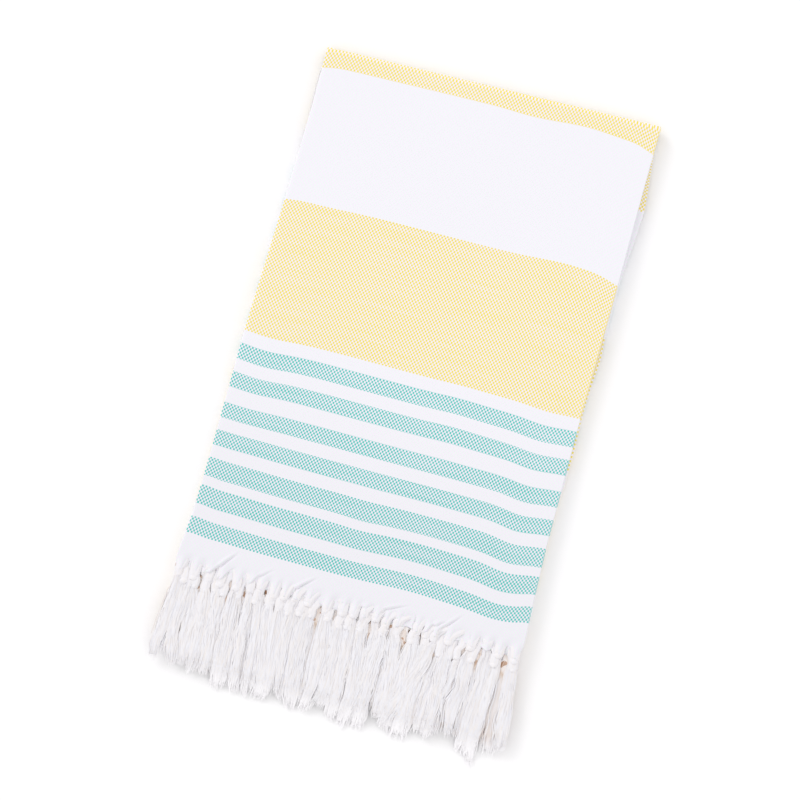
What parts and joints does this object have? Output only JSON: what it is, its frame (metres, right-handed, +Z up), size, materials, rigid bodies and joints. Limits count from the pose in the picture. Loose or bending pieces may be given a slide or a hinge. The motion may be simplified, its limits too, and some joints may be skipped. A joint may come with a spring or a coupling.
{
  "type": "beach towel",
  "caption": "Flat-woven striped beach towel with knotted fringes, folded in thirds both ways and lying flat.",
  "frame": {"origin": "middle of the folded towel's footprint, on the surface that it lies on", "axes": "+Z up, +Y along the folded towel from its front fringe to the fold at its head, +X to the right across its width"},
  "size_m": [0.3578, 0.638, 0.0162],
  "materials": {
    "woven_cotton": "flat-woven cotton in small diamond weave: pale yellow and white bands with narrow aqua stripes at each end",
    "fringe_yarn": "soft white cotton yarn, gathered and knotted into tassels with loose wavy ends"
  },
  "bodies": {
    "root": {"cloth": "woven_cotton", "fringe_front": "fringe_yarn", "fringe_back": "fringe_yarn"}
  },
  "joints": []
}
